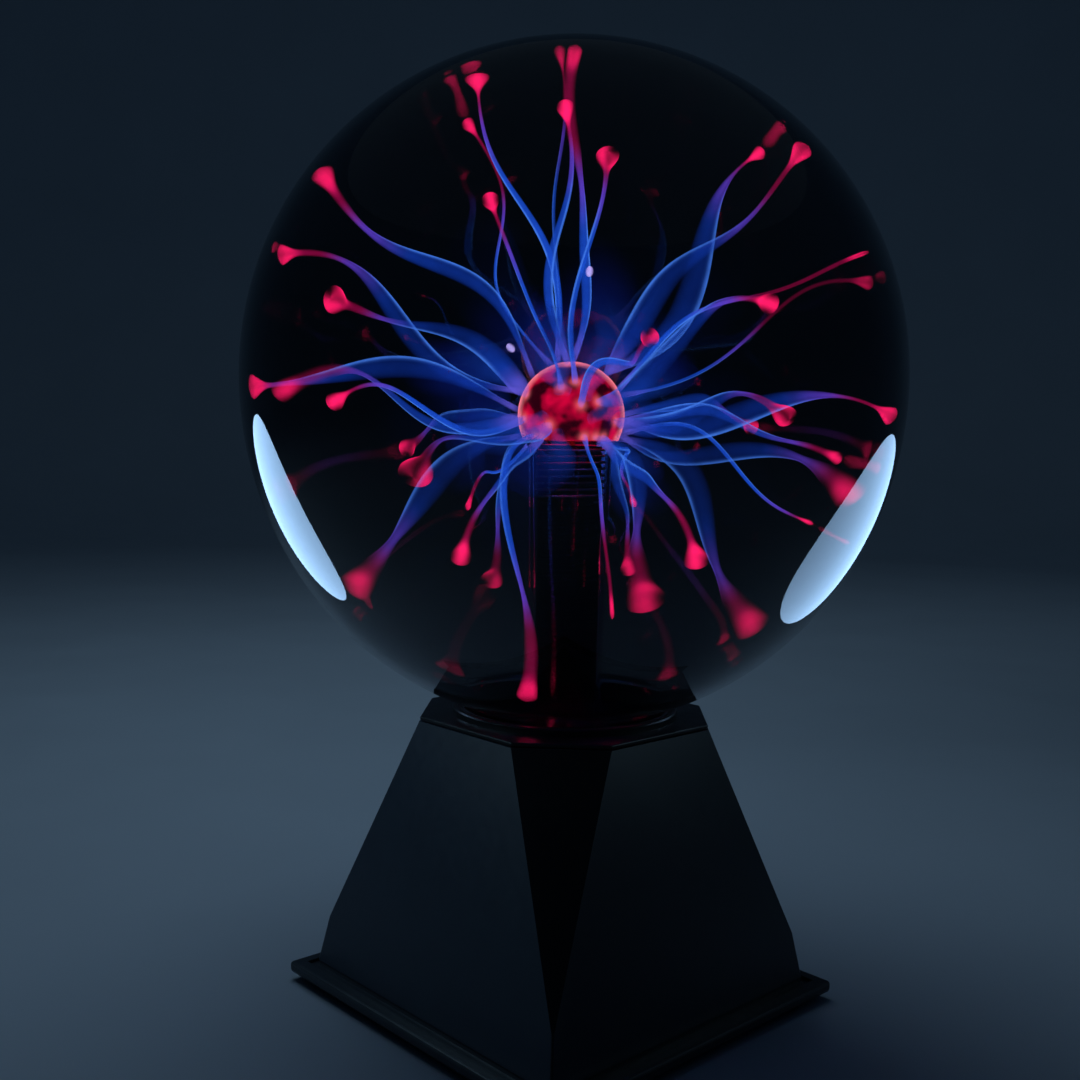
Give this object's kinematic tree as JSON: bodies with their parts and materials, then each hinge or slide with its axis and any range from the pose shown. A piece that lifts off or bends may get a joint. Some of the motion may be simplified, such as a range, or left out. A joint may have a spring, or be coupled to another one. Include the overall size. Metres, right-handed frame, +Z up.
{
  "type": "plasma ball",
  "caption": "Plasma ball: gas-filled glass globe with a central electrode on a stem, on a chamfered pyramid base with its driver electronics and a slide switch.",
  "frame": {"origin": "middle of the base, on the plane that the rubber feet rest on", "axes": "+Z up through the globe; the base's sides lie along X and Y; the slide switch and power jack are in the +Y wall"},
  "size_m": [0.2, 0.2, 0.2928],
  "materials": {
    "globe_glass": "clear blown glass, polished",
    "stem_glass": "clear glass tube",
    "electrode": "conductive coating behind glass, glowing deep red with the lamp on",
    "housing_black": "fine-textured satin black ABS",
    "plate_black": "satin black ABS",
    "collar_black": "smooth semi-gloss black",
    "sleeve_black": "finely ribbed black",
    "plug_black": "matte black",
    "rubber": "matte black rubber",
    "screw_steel": "zinc-plated steel",
    "coil_wire": "drawn spring wire",
    "board": "solder-masked glass-epoxy",
    "ferrite": "sintered ferrite",
    "winding": "yellow winding tape",
    "heat_sink": "extruded, bare",
    "component": "black moulding compound",
    "capacitor": "shrink sleeve",
    "microphone": "drawn can",
    "switch_can": "nickel-plated steel",
    "switch_knob": "black nylon",
    "lead_red": "red insulation",
    "lead_black": "black insulation"
  },
  "bodies": {
    "ball": {"glass_globe": "globe_glass", "glass_stem": "stem_glass", "exhaust_tip": "stem_glass", "electrode_liner": "electrode", "stem_plug": "plug_black", "stem_sleeve": "sleeve_black", "contact_coil": "coil_wire", "hv_lead": "lead_red", "globe_gasket": "rubber", "neck_cup": "plate_black", "top_collar": "collar_black", "housing": "housing_black", "bottom_plate": "plate_black", "foot_1": "rubber", "foot_2": "rubber", "foot_3": "rubber", "foot_4": "rubber", "base_screw_1": "screw_steel", "base_screw_2": "screw_steel", "base_screw_3": "screw_steel", "base_screw_4": "screw_steel", "cup_screw_1": "screw_steel", "cup_screw_2": "screw_steel", "cup_screw_3": "screw_steel", "cup_screw_4": "screw_steel", "circuit_board": "board", "board_screw_1": "screw_steel", "board_screw_2": "screw_steel", "board_screw_3": "screw_steel", "board_screw_4": "screw_steel", "flyback_core": "ferrite", "flyback_winding": "winding", "power_transistor": "component", "heat_sink": "heat_sink", "filter_capacitor_1": "capacitor", "filter_capacitor_2": "capacitor", "driver_chip": "component", "microphone": "microphone", "power_jack": "component", "switch_body": "switch_can", "switch_screw_1": "screw_steel", "switch_screw_2": "screw_steel", "jack_lead_1": "lead_black", "jack_lead_2": "lead_red", "switch_lead_1": "lead_black", "switch_lead_2": "lead_red"},
    "slider": {"switch_slider": "switch_knob"}
  },
  "joints": [
    {"name": "switch_slide", "type": "slide", "parent": "ball", "child": "slider", "axis": [1, 0, 0], "range_m": [-0.0035, 0.0035]}
  ]
}
